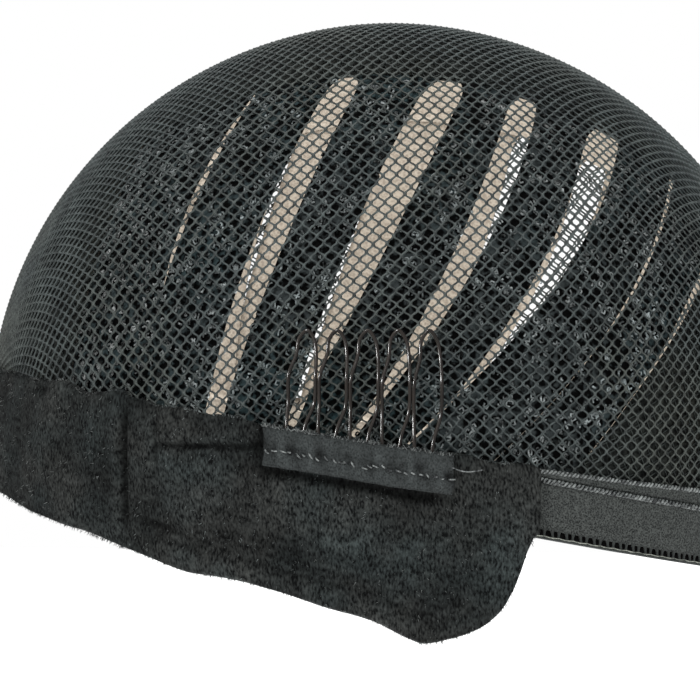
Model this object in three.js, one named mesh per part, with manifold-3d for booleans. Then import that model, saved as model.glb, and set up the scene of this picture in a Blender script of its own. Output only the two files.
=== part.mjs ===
// A wig cap: a stretch-net dome over lace strips, with a velvet front band, ear tabs, side combs and a nape strap.
// Millimetres, +Z up. The wearer faces -Y, and +X is the wearer's left. The origin is the inside of the crown.
// A plan angle of 0 points to the wearer's left, +90 degrees to the nape and -90 degrees to the forehead.

import * as THREE from "three";
import { mergeVertices } from "three/addons/utils/BufferGeometryUtils.js";
import Module from "manifold-3d";

const wasm = await Module();
wasm.setup();

// Dome: the outside of the net
const domeLength = 195;
const domeWidth = 156;
const domeHeight = 97.5;
const crownFlatness = 0.9;
const neckTuck = 0.03;

// Edge of the net: a slanted line round the head, lower at the nape
const edgeHeight = 0.6;
const edgeSlope = 0.164;
const netTuckIn = 6;
const liningTuckIn = 4;

// Cloth thicknesses and the clearances between layers
const netWall = 1;
const liningWall = 1;
const velvetWall = 2;
const hemWall = 1;
const strapWall = 1.2;
const tapeWall = 1;
const seamGap = 0.3;
const liningGap = 0.45;
const clothGap = 0.5;

// Diamond gaps in the net, where it crosses the open slots
const gapWidth = 2.6;
const gapHeight = 6.6;
const gapColumnPitch = 3.2;
const gapRowPitch = 4.6;
const gapEdgeMargin = 0.2;

// Lining: the crown panel's edge, and the open slots between the lace strips of one side. The levels are shares of
// the dome's height, the places of half its length, and the widths of the widest slot's.
const crownEdgeHeight = 80;
const slotWidest = 8.8;
const slotSpread = { from: -0.2, to: 1, steps: 12 };
const slotLevel = { low: 0.1, mid: 0.46, high: 0.8 };
const slots = [
  { name: "front_seam", low: -0.687, mid: -0.615, high: -0.503, wideLow: 0.035, wideMid: 0.035, wideHigh: 0.035 },
  { name: "temple_slit", low: -0.487, mid: -0.421, high: -0.267, wideLow: 0.16, wideMid: 0.18, wideHigh: 0.14 },
  { name: "first_slot", low: -0.318, mid: -0.205, high: -0.067, wideLow: 0.35, wideMid: 0.8, wideHigh: 0.76 },
  { name: "second_slot", low: -0.133, mid: 0.018, high: 0.164, wideLow: 0.28, wideMid: 1, wideHigh: 1 },
  { name: "third_slot", low: 0.036, mid: 0.241, high: 0.342, wideLow: 0.23, wideMid: 0.67, wideHigh: 0.82 },
  { name: "fourth_slot", low: 0.195, mid: 0.444, high: 0.523, wideLow: 0.07, wideMid: 0.77, wideHigh: 0.8 },
  { name: "back_slit", low: 0.41, mid: 0.636, high: 0.68, wideLow: 0.07, wideMid: 0.18, wideHigh: 0.14 },
  { name: "nape_slit", low: 0.574, mid: 0.779, high: 0.87, wideLow: 0.09, wideMid: 0.3, wideHigh: 0.18 },
];

// Velvet band: depth below the net's edge, from the middle of the forehead to the ear tab's rear edge
const tabDepth = 40;
const tabRearAngle = 20.8;
const bandOutline = [
  { sweep: 0, depth: 0.675 },
  { sweep: 0.273, depth: 0.7 },
  { sweep: 0.456, depth: 0.77 },
  { sweep: 0.564, depth: 0.825 },
  { sweep: 0.653, depth: 0.857 },
  { sweep: 0.737, depth: 0.87 },
  { sweep: 0.827, depth: 0.93 },
  { sweep: 0.888, depth: 1 },
  { sweep: 0.925, depth: 0.93 },
  { sweep: 0.957, depth: 0.8 },
  { sweep: 0.97, depth: 0.69 },
  { sweep: 0.984, depth: 0.5 },
  { sweep: 1, depth: 0.335 },
];
const bandRows = 3;
const tabLiftStart = 11;
const tabLiftEnd = 15;

// Nape hem and adjustable strap, from one ear tab to the other
const hemHeightAtTab = 2;
const hemHeightAtNape = 6.5;
const strapHeight = 12.3;
const strapEndAngle = 16;

// Side comb: a cloth tape sewn over the feet of wavy hairpin teeth
const tapeLength = 38;
const tapeHeight = 8.5;
const tapeMiddle = -1;
const wireDiameter = 0.8;
const toothCount = 5;
const toothPitch = 6.35;
const toothSetBack = 1.2;
const toothWidth = 5.4;
const toothTop = 22.2;
const spineDepth = 4;

// Shape of one hairpin tooth, from its feet to its tip. Rise is a share of its height, front and back are where its
// two legs lie as shares of its width, and stand is a share of the way from the net to the wire under the tape.
const toothShape = [
  { rise: 0, front: -0.52, back: 0.1, stand: 1 },
  { rise: 0.2, front: -0.525, back: 0.17, stand: 0.9 },
  { rise: 0.4, front: -0.525, back: 0.47, stand: 0.5 },
  { rise: 0.62, front: -0.5, back: 0.51, stand: 0.75 },
  { rise: 0.8, front: -0.27, back: 0.49, stand: 0.45 },
  { rise: 0.93, front: -0.2, back: 0.38, stand: 0.4 },
  { rise: 1, front: 0.1, back: 0.1, stand: 0.4 },
];

// Fineness of the facets
const planStep = 12;
const domeRows = 9;
const bandStep = 6;
const wireSides = 5;
const wireStepsPerTooth = 14;

const radians = THREE.MathUtils.degToRad;
const halfWidth = domeWidth / 2;
const halfLength = domeLength / 2;
const liningOffset = -netWall - liningGap;
const liningInner = liningOffset - liningWall;
const seatHeight = domeHeight + liningInner;
const velvetInner = clothGap;
const velvetOuter = velvetInner + velvetWall;
const strapOuter = clothGap + strapWall;
const liftedInner = strapOuter + clothGap;
const wireClear = wireDiameter / 2 + liningGap;
const wireOffset = velvetOuter + wireClear;
const tapeInner = wireOffset + wireClear;
const tapeOuter = tapeInner + tapeWall;

// Half width and half length of the dome's level section at a height
function section(height, offset) {
  if (height > 0) {
    const level = Math.min(height / (domeHeight + offset), 1);
    const girth = Math.sqrt(1 - level * level);
    return { x: (halfWidth + offset) * girth ** crownFlatness, y: (halfLength + offset) * girth };
  }
  const girth = 1 - neckTuck * (height / tabDepth) ** 2;
  return { x: (halfWidth + offset) * girth, y: (halfLength + offset) * girth };
}

function wallPoint(plan, height, offset) {
  const half = section(height, offset);
  return new THREE.Vector3(half.x * Math.cos(plan), half.y * Math.sin(plan), height);
}

// Height of the net's edge line at a plan angle
function edgeLine(plan) {
  return edgeHeight - edgeSlope * halfLength * Math.sin(plan);
}

// Fall is 0 at the crown and 1 at the widest level, and runs on past 1 down the wall
function fallOf(height) {
  if (height > 0) return Math.acos(height / domeHeight) / (Math.PI / 2);
  return 1 - height / (domeHeight * (Math.PI / 2));
}

function domePoint(plan, fall, offset) {
  if (fall < 1) return wallPoint(plan, (domeHeight + offset) * Math.cos(fall * Math.PI / 2), offset);
  return wallPoint(plan, (1 - fall) * domeHeight * (Math.PI / 2), offset);
}

// Smooth step from 0 to 1
function ease(value, from, to) {
  return THREE.MathUtils.smoothstep(value, from, to);
}

function lookUp(table, column, value, key) {
  const last = table.length - 1;
  const next = table.findIndex((row) => row[key] >= value);
  if (next === 0) return table[0][column];
  if (next < 0) return table[last][column];
  const [a, b] = [table[next - 1], table[next]];
  return THREE.MathUtils.mapLinear(value, a[key], b[key], a[column], b[column]);
}

// A closed wall from two grids of points, point(column, row, side) with side 0 inside and 1 outside.
// A loop joins its last column to its first, and a dome's top row is one point.
function wallGeometry(columns, rows, point, { loop = false, dome = false } = {}) {
  const positions = [];
  const triangles = [];
  const across = loop ? columns : columns + 1;
  const up = dome ? rows : rows + 1;
  const perSide = across * up + (dome ? 1 : 0);
  for (const side of [0, 1]) {
    for (let row = 0; row < up; row++) {
      for (let column = 0; column < across; column++) positions.push(...point(column, row, side).toArray());
    }
    if (dome) positions.push(...point(0, rows, side).toArray());
  }
  const at = (column, row, side) => {
    const base = side * perSide;
    if (dome && row === rows) return base + perSide - 1;
    return base + row * across + (loop ? column % columns : column);
  };
  const face = (a, b, c) => {
    if (a !== b && b !== c && c !== a) triangles.push(a, b, c);
  };
  const quad = (a, b, c, d) => {
    face(a, b, c);
    face(a, c, d);
  };
  for (let column = 0; column < columns; column++) {
    for (let row = 0; row < rows; row++) {
      quad(at(column, row, 1), at(column + 1, row, 1), at(column + 1, row + 1, 1), at(column, row + 1, 1));
      quad(at(column, row, 0), at(column, row + 1, 0), at(column + 1, row + 1, 0), at(column + 1, row, 0));
    }
    quad(at(column, 0, 0), at(column + 1, 0, 0), at(column + 1, 0, 1), at(column, 0, 1));
    if (!dome) quad(at(column, rows, 1), at(column + 1, rows, 1), at(column + 1, rows, 0), at(column, rows, 0));
  }
  for (let row = 0; row < rows && !loop; row++) {
    quad(at(0, row, 0), at(0, row, 1), at(0, row + 1, 1), at(0, row + 1, 0));
    quad(at(columns, row, 1), at(columns, row, 0), at(columns, row + 1, 0), at(columns, row + 1, 1));
  }
  const geometry = new THREE.BufferGeometry();
  geometry.setAttribute("position", new THREE.Float32BufferAttribute(positions, 3));
  geometry.setIndex(triangles);
  return geometry;
}

function toSolid(geometry) {
  const bare = geometry.clone();
  bare.deleteAttribute("normal");
  bare.deleteAttribute("uv");
  const merged = mergeVertices(bare, 1e-4);
  return new wasm.Manifold(new wasm.Mesh({
    numProp: 3,
    vertProperties: new Float32Array(merged.attributes.position.array),
    triVerts: new Uint32Array(merged.index.array),
  }));
}

function fromSolid(solid) {
  const mesh = solid.getMesh();
  const geometry = new THREE.BufferGeometry();
  geometry.setAttribute("position", new THREE.Float32BufferAttribute(mesh.vertProperties, 3));
  geometry.setIndex(Array.from(mesh.triVerts));
  return geometry;
}

// The same piece on the other side of the head
function mirrored(geometry) {
  const copy = geometry.index ? geometry.toNonIndexed() : geometry.clone();
  const place = copy.attributes.position;
  const turned = [];
  for (let first = 0; first < place.count; first += 3) {
    for (const corner of [first, first + 2, first + 1]) {
      turned.push(-place.getX(corner), place.getY(corner), place.getZ(corner));
    }
  }
  const result = new THREE.BufferGeometry();
  result.setAttribute("position", new THREE.Float32BufferAttribute(turned, 3));
  return result;
}

// A dome-shaped cloth, open below, from its outer offset inwards
function domeCloth(outer, wall, tuckIn) {
  const columns = 360 / planStep;
  return wallGeometry(columns, domeRows, (column, row, side) => {
    const plan = radians(column * planStep);
    const rim = fallOf(edgeLine(plan) - tuckIn);
    return domePoint(plan, rim * (1 - row / domeRows), side ? outer : outer - wall);
  }, { loop: true, dome: true });
}

// The curve through a slot's low, middle and high values, at a height that is a share of the dome's
function slotCurve(share, low, mid, high) {
  const [a, b, c] = [slotLevel.low, slotLevel.mid, slotLevel.high];
  return low * (share - b) * (share - c) / ((a - b) * (a - c))
    + mid * (share - a) * (share - c) / ((b - a) * (b - c))
    + high * (share - a) * (share - b) / ((c - a) * (c - b));
}

function slotMiddle(slot, height) {
  return halfLength * slotCurve(height / domeHeight, slot.low, slot.mid, slot.high);
}

function slotWidth(slot, height) {
  const share = THREE.MathUtils.clamp(height / domeHeight, slotLevel.low, slotLevel.high);
  return Math.max(slotWidest * slotCurve(share, slot.wideLow, slot.wideMid, slot.wideHigh), seamGap);
}

// One edge of a slot as points in the side view: side -1 faces the forehead, 1 the nape
function slotEdge(slot, side) {
  const points = [];
  for (let step = 0; step <= slotSpread.steps; step++) {
    const height = domeHeight * THREE.MathUtils.lerp(slotSpread.from, slotSpread.to, step / slotSpread.steps);
    points.push(new THREE.Vector2(slotMiddle(slot, height) + side * slotWidth(slot, height) / 2, height));
  }
  return points;
}

// A prism whose outline is drawn in the side view and runs along X
function sidePrism(outline, fromX, toX) {
  const geometry = new THREE.ExtrudeGeometry(new THREE.Shape(outline), { depth: toX - fromX, bevelEnabled: false });
  const turn = new THREE.Matrix4().makeBasis(
    new THREE.Vector3(0, 1, 0),
    new THREE.Vector3(0, 0, 1),
    new THREE.Vector3(1, 0, 0),
  );
  geometry.applyMatrix4(turn);
  geometry.translate(fromX, 0, 0);
  return toSolid(geometry);
}

// The wedge above the crown panel's side edges, which lie on two planes through the dome's middle line
function crownWedge(grow) {
  const edge = section(crownEdgeHeight, liningOffset);
  const reach = 2;
  const drop = grow * Math.hypot(edge.x, crownEdgeHeight) / edge.x;
  const outline = new THREE.Shape([
    new THREE.Vector2(0, -drop),
    new THREE.Vector2(reach * edge.x, reach * crownEdgeHeight - drop),
    new THREE.Vector2(-reach * edge.x, reach * crownEdgeHeight - drop),
  ]);
  const geometry = new THREE.ExtrudeGeometry(outline, { depth: 2 * domeLength, bevelEnabled: false });
  geometry.rotateX(Math.PI / 2);
  geometry.translate(0, domeLength, 0);
  return toSolid(geometry);
}

// Everything in front of a slot's forehead edge, or behind its nape edge
function endBlock(slot, side, grow) {
  const far = side * domeLength;
  const edge = slotEdge(slot, side).map((point) => new THREE.Vector2(point.x - side * grow, point.y));
  const outline = [...edge, new THREE.Vector2(far, edge.at(-1).y), new THREE.Vector2(far, edge[0].y)];
  return sidePrism(side > 0 ? outline.reverse() : outline, -domeWidth, domeWidth);
}

// The lining layer, cut into its crown panel, its two end panels and the strips of the left side
function liningPieces() {
  const layer = toSolid(domeCloth(liningOffset, liningWall, liningTuckIn));
  const front = slots[0];
  const back = slots.at(-1);
  const wedge = crownWedge(0);
  const openWedge = crownWedge(seamGap);
  const pieces = new Map();
  pieces.set("crown_lining", layer.intersect(wedge)
    .subtract(endBlock(front, -1, seamGap))
    .subtract(endBlock(back, 1, seamGap)));
  pieces.set("forehead_lining", layer.intersect(endBlock(front, -1, 0)));
  pieces.set("nape_lining", layer.intersect(endBlock(back, 1, 0)));
  for (let index = 1; index < slots.length; index++) {
    const outline = [...slotEdge(slots[index - 1], 1), ...slotEdge(slots[index], -1).reverse()];
    const strip = layer.intersect(sidePrism(outline.reverse(), 0, domeWidth)).subtract(openWedge);
    pieces.set(`lace_strip_${index}`, strip);
  }
  return pieces;
}

// The middles of the net's diamond gaps, in the side view: those of its staggered rows that clear a slot's edges
function gapMiddles() {
  const middles = [];
  const lowest = slotLevel.low * domeHeight + gapHeight / 2;
  const rows = Math.floor((crownEdgeHeight - lowest) / gapRowPitch);
  const columns = Math.floor(halfLength / gapColumnPitch);
  for (let row = 0; row < rows; row++) {
    const height = lowest + row * gapRowPitch;
    for (let column = -columns; column < columns; column++) {
      const along = (column + (row % 2) / 2) * gapColumnPitch;
      const crownEdge = crownEdgeHeight * Math.sqrt(1 - (along / halfLength) ** 2);
      const clearance = (slot) => slotWidth(slot, height) / 2 - Math.abs(along - slotMiddle(slot, height));
      const open = slots.some((slot) => clearance(slot) >= gapWidth / 2 - gapEdgeMargin);
      if (open && height + gapHeight / 2 <= crownEdge) middles.push(new THREE.Vector2(along, height));
    }
  }
  return middles;
}

function diamond(centre) {
  return [
    new THREE.Vector2(centre.x + gapWidth / 2, centre.y),
    new THREE.Vector2(centre.x, centre.y + gapHeight / 2),
    new THREE.Vector2(centre.x - gapWidth / 2, centre.y),
    new THREE.Vector2(centre.x, centre.y - gapHeight / 2),
  ];
}

function netGeometry() {
  let net = toSolid(domeCloth(0, netWall, netTuckIn));
  for (const centre of gapMiddles()) {
    net = net.subtract(sidePrism(diamond(centre), 0, domeWidth));
    net = net.subtract(sidePrism(diamond(centre), -domeWidth, 0));
  }
  return fromSolid(net);
}

// Plan angles, in degrees, from one place to another in equal steps
function angles(from, to, step) {
  const count = Math.round((to - from) / step);
  return Array.from({ length: count + 1 }, (_, index) => THREE.MathUtils.lerp(from, to, index / count));
}

function velvetGeometry() {
  const sweepAngle = 90 + tabRearAngle;
  const stations = [];
  for (let angle = -90; angle < tabLiftStart; angle += bandStep) stations.push(angle);
  for (const row of bandOutline) {
    const angle = -90 + row.sweep * sweepAngle;
    if (angle > stations.at(-1) + bandStep / 5) stations.push(angle);
  }
  const around = [...stations.slice(1).map((angle) => -180 - angle).reverse(), ...stations];
  return wallGeometry(around.length - 1, bandRows, (column, row, side) => {
    const fromFront = Math.abs(around[column] + 90);
    const plan = radians(around[column]);
    const depth = tabDepth * lookUp(bandOutline, "depth", fromFront / sweepAngle, "sweep");
    const height = edgeLine(plan) - depth * (1 - row / bandRows);
    const lift = (liftedInner - velvetInner) * ease(fromFront - 90, tabLiftStart, tabLiftEnd);
    return wallPoint(plan, height, (side ? velvetOuter : velvetInner) + lift);
  });
}

// Height of the hem at a plan angle in degrees
function hemHeight(angle) {
  const fromTab = 90 - Math.abs(90 - angle) - tabRearAngle;
  return THREE.MathUtils.mapLinear(fromTab, 0, 90 - tabRearAngle, hemHeightAtTab, hemHeightAtNape);
}

// A band round the nape, between two heights that follow the net's edge
function napeBand(top, bottom, inner, wall, rows) {
  const around = angles(strapEndAngle, 180 - strapEndAngle, bandStep);
  return wallGeometry(around.length - 1, rows, (column, row, side) => {
    const angle = around[column];
    const plan = radians(angle);
    const height = THREE.MathUtils.lerp(bottom(angle), top(angle), row / rows);
    return wallPoint(plan, edgeLine(plan) - height, side ? inner + wall : inner);
  });
}

function hemGeometry() {
  return napeBand(() => 0, hemHeight, clothGap, hemWall, 1);
}

function strapGeometry() {
  const top = (angle) => hemHeight(angle) + seamGap;
  return napeBand(top, (angle) => top(angle) + strapHeight, clothGap, strapWall, 2);
}

// Plan angle at a distance along the side, counted backwards from the ear line
function planAt(along) {
  return Math.asin(along / halfLength);
}

function tapeGeometry() {
  const columns = toothCount * 2;
  return wallGeometry(columns, 1, (column, row, side) => {
    const plan = planAt(tapeMiddle + tapeLength * (column / columns - 0.5));
    return wallPoint(plan, edgeLine(plan) - tapeHeight * (1 - row), side ? tapeOuter : tapeInner);
  });
}

// One wire bent into all the teeth of a comb, with its feet under the tape
function combGeometry() {
  const points = [];
  const put = (along, rise, stand) => {
    const plan = planAt(along);
    const foot = edgeLine(plan) - spineDepth;
    const height = THREE.MathUtils.lerp(foot, edgeLine(planAt(tapeMiddle)) + toothTop, rise);
    points.push(wallPoint(plan, height, THREE.MathUtils.lerp(wireClear, wireOffset, stand)));
  };
  for (let tooth = 0; tooth < toothCount; tooth++) {
    const middle = tapeMiddle + toothSetBack + (tooth - (toothCount - 1) / 2) * toothPitch;
    for (const row of toothShape) put(middle + row.front * toothWidth, row.rise, row.stand);
    for (const row of toothShape.slice(0, -1).reverse()) put(middle + row.back * toothWidth, row.rise, row.stand);
  }
  const ring = angles(0, 360, 360 / wireSides).slice(1).map((angle) => {
    return new THREE.Vector2(Math.cos(radians(angle)), Math.sin(radians(angle))).multiplyScalar(wireDiameter / 2);
  });
  return new THREE.ExtrudeGeometry(new THREE.Shape(ring), {
    steps: toothCount * wireStepsPerTooth,
    extrudePath: new THREE.CatmullRomCurve3(points, false, "centripetal"),
    bevelEnabled: false,
  });
}

function cloth(color, roughness) {
  return new THREE.MeshStandardMaterial({ color, roughness, metalness: 0 });
}

const finishes = {
  net: cloth(0x2b3232, 0.85),
  lace: cloth(0x101617, 0.7),
  velvet: cloth(0x1a1c1d, 0.95),
  elastic: cloth(0x2a2d2e, 0.8),
  tape: cloth(0x2c2e30, 0.75),
  wire: new THREE.MeshStandardMaterial({ color: 0x1b1715, roughness: 0.3, metalness: 0.9 }),
};

const cap = new THREE.Group();
cap.position.z = -seatHeight;

function addPiece(name, geometry, finish) {
  geometry.computeVertexNormals();
  const piece = new THREE.Mesh(geometry, finish);
  piece.name = name;
  cap.add(piece);
}

function addPair(name, geometry, finish) {
  addPiece(`${name}_left`, geometry, finish);
  addPiece(`${name}_right`, mirrored(geometry), finish);
}

addPiece("dome_net", netGeometry(), finishes.net);
for (const [name, solid] of liningPieces()) {
  if (name.startsWith("lace_strip")) addPair(name, fromSolid(solid), finishes.lace);
  else addPiece(name, fromSolid(solid), finishes.lace);
}
addPiece("velvet_band", velvetGeometry(), finishes.velvet);
addPiece("nape_hem", hemGeometry(), finishes.elastic);
addPiece("nape_strap", strapGeometry(), finishes.elastic);
addPair("comb_tape", tapeGeometry(), finishes.tape);
addPair("comb_teeth", combGeometry(), finishes.wire);

const wigCap = new THREE.Group();
wigCap.add(cap);

export default wigCap;
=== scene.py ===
"""Looks of the wig cap: stretch net over lace, a velvet front band, side combs and an elastic nape strap.

Lengths are millimetres in the dome's own frame, whose origin is the middle of the dome's widest level.
Each mesh is moved to the row frame, in metres, when it is made.
"""

from __future__ import annotations

import logging
import math
import sys
from dataclasses import dataclass, field
from enum import Enum
from typing import Callable, Sequence

import bmesh
import bpy
import numpy as np
from mathutils import Matrix, Vector

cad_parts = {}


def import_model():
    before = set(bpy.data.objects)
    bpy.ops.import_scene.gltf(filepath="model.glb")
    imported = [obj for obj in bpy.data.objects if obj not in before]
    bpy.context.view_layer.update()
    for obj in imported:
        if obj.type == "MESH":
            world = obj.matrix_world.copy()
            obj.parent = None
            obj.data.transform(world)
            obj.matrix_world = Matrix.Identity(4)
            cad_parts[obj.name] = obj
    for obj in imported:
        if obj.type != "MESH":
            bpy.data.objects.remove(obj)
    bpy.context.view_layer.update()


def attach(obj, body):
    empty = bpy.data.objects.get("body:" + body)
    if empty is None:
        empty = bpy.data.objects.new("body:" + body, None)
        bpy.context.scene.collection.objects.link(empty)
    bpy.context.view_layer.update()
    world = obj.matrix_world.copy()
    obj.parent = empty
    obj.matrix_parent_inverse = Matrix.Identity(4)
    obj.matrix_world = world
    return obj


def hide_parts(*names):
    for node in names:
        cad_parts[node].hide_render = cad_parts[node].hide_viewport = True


log = logging.getLogger("wig_cap")

Array = np.ndarray
Material, Object = bpy.types.Material, bpy.types.Object
Node, NodeTree, NodeSocket = bpy.types.Node, bpy.types.NodeTree, bpy.types.NodeSocket
Colour = tuple[float, float, float]
SIDES = {"left": 1.0, "right": -1.0}
# Radii of the rim by which angles become lengths, and the length of the nape's edge from tab to tab.
UV_RADIUS = 90.0
DRAPE_RADIUS = 88.0
NAPE_RUN = 235.0


class Panel(Enum):
    """Quarters of the outer net: name, and the signs of x and y where the quarter lies."""

    FRONT_LEFT = ("front_left", 1, -1)
    FRONT_RIGHT = ("front_right", -1, -1)
    BACK_LEFT = ("back_left", 1, 1)
    BACK_RIGHT = ("back_right", -1, 1)


class Weave(Enum):
    """Surface patterns that a cloth finish can have."""

    YARN = "yarn"
    LACE = "lace"
    PILE = "pile"
    KNIT = "knit"
    TAPE = "tape"


@dataclass(frozen=True)
class CapShape:
    """The dome and the lines on it, with the same measures as the CAD source."""

    half_length: float = 97.5
    half_width: float = 78.0
    height: float = 97.5
    flatness: float = 0.9
    neck_tuck: float = 0.03
    neck_depth: float = 40.0
    edge_height: float = 0.6
    edge_slope: float = 0.164
    seat: float = 95.05
    crown_edge: float = 80.0

    def section(self, z: Array, offset: Array | float = 0.0) -> tuple[Array, Array]:
        """Half width and half length of the level section.

        Args:
            z: heights.
            offset: distance outside the net's outer surface.

        Returns:
            The half widths and the half lengths.
        """
        z = np.asarray(z, float)
        high = np.sqrt(np.clip(1 - (z / (self.height + offset)) ** 2, 0, 1))
        low = 1 - self.neck_tuck * (z / self.neck_depth) ** 2
        wide = np.where(z > 0, high**self.flatness, low)
        return (self.half_width + offset) * wide, (self.half_length + offset) * np.where(z > 0, high, low)

    def wall(self, plan: Array, z: Array, offset: Array | float = 0.0) -> Array:
        """Points on the wall.

        Args:
            plan: plan angles in radians, 0 at the wearer's left and a quarter turn at the nape.
            z: heights.
            offset: distance outside the net's outer surface.

        Returns:
            The points, with the coordinates in the last axis.
        """
        plan, z, offset = np.broadcast_arrays(plan, z, offset)
        half_x, half_y = self.section(z, offset)
        return np.stack([half_x * np.cos(plan), half_y * np.sin(plan), z], -1)

    def edge_line(self, plan: Array) -> Array:
        """Height of the net's edge at plan angles in radians."""
        return self.edge_height - self.edge_slope * self.half_length * np.sin(plan)

    def normal(self, points: Array) -> Array:
        """Outward directions of the wall at points on it."""
        upward = np.where(points[..., 2] > 0, points[..., 2] / self.height**2, 0)
        level = points[..., :2] / np.array([self.half_width, self.half_length]) ** 2
        return unit(np.concatenate([level, upward[..., None]], -1))


@dataclass(frozen=True)
class Slot:
    """An open slot of the lining, by the shares at three levels of the dome's height."""

    name: str
    places: tuple[float, float, float]
    widths: tuple[float, float, float]


LEVELS = (0.1, 0.46, 0.8)
WIDEST_SLOT = 8.8
SEAM_GAP = 0.3
CLOSED_SLIT = 0.08
SLOT_ROUNDING = 5.0
SLOTS = (
    Slot("front_seam", (-0.687, -0.615, -0.503), (0.01, 0.01, 0.01)),
    Slot("temple_slit", (-0.487, -0.421, -0.267), (-0.4, 0.13, 0.02)),
    Slot("first_slot", (-0.318, -0.205, -0.067), (0.5, 0.8, 0.76)),
    Slot("second_slot", (-0.133, 0.018, 0.164), (0.28, 1.0, 1.0)),
    Slot("third_slot", (0.036, 0.241, 0.342), (0.23, 0.72, 0.68)),
    Slot("fourth_slot", (0.195, 0.444, 0.523), (0.07, 0.77, 0.8)),
    Slot("back_slit", (0.41, 0.636, 0.68), (0.0, 0.09, 0.06)),
    Slot("nape_slit", (0.574, 0.779, 0.87), (0.02, 0.22, 0.12)),
)


def level_curve(share: Array, values: Sequence[float]) -> Array:
    """The quadratic curve through the values at the three levels."""
    a, b, c = LEVELS
    low, mid, high = values
    return (
        low * (share - b) * (share - c) / ((a - b) * (a - c))
        + mid * (share - a) * (share - c) / ((b - a) * (b - c))
        + high * (share - a) * (share - b) / ((c - a) * (c - b))
    )


def slot_edge(shape: CapShape, slot: Slot, side: int, z: Array) -> Array:
    """Where a slot's edge lies along the cap.

    Args:
        shape: the dome.
        slot: the slot.
        side: -1 for the edge towards the forehead, 1 for the other.
        z: heights.

    Returns:
        The y coordinates.
    """
    share = z / shape.height
    middle = shape.half_length * level_curve(share, slot.places)
    width = WIDEST_SLOT * level_curve(np.clip(share, LEVELS[0], LEVELS[2]), slot.widths)
    top = shape.crown_edge * np.sqrt(np.clip(1 - (middle / shape.half_length) ** 2, 0, 1))
    near_top = np.clip((z - top + SLOT_ROUNDING) / SLOT_ROUNDING, 0, 1)
    rounded = np.where(width > 3, width * np.sqrt(1 - 0.9 * near_top**2), width)
    return middle + side * np.maximum(rounded, CLOSED_SLIT) / 2


def unit(vectors: Array) -> Array:
    """The vectors with length 1."""
    return vectors / np.maximum(np.linalg.norm(vectors, axis=-1, keepdims=True), 1e-9)


def settle(value: Array, follow: Callable[[Array], Array], rate: float, rounds: int) -> Array:
    """Moves a value by a share of the way, round by round, to where the function gives it back."""
    for _ in range(rounds):
        value = (1 - rate) * value + rate * follow(value)
    return value


def smooth(value: Array, start: float, end: float) -> Array:
    """Smooth step from 0 to 1."""
    share = np.clip((value - start) / (end - start), 0, 1)
    return share * share * (3 - 2 * share)


def bell(value: Array, middle: Array | float, width: float) -> Array:
    """A smooth bump of height 1."""
    return np.exp(-(((value - middle) / width) ** 2))


def window(value: Array, start: float, full: float, fade: float, end: float) -> Array:
    """Rises smoothly from 0 to 1 between the first two values and falls back between the last two."""
    return smooth(value, start, full) * (1 - smooth(value, fade, end))


def spread(start: float, end: float, count: int, dense: Sequence[tuple[float, float, float]]) -> Array:
    """Rising places between two ends, closer together near some of them.

    Args:
        start: first place.
        end: last place.
        count: how many.
        dense: a middle, a width and how much denser, for each such stretch.

    Returns:
        The places.
    """
    fine = np.linspace(start, end, 4000)
    density = 1 + sum(more * bell(fine, middle, width) for middle, width, more in dense)
    total = np.cumsum(density)
    return np.interp(np.linspace(total[0], total[-1], count), total, fine)


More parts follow.
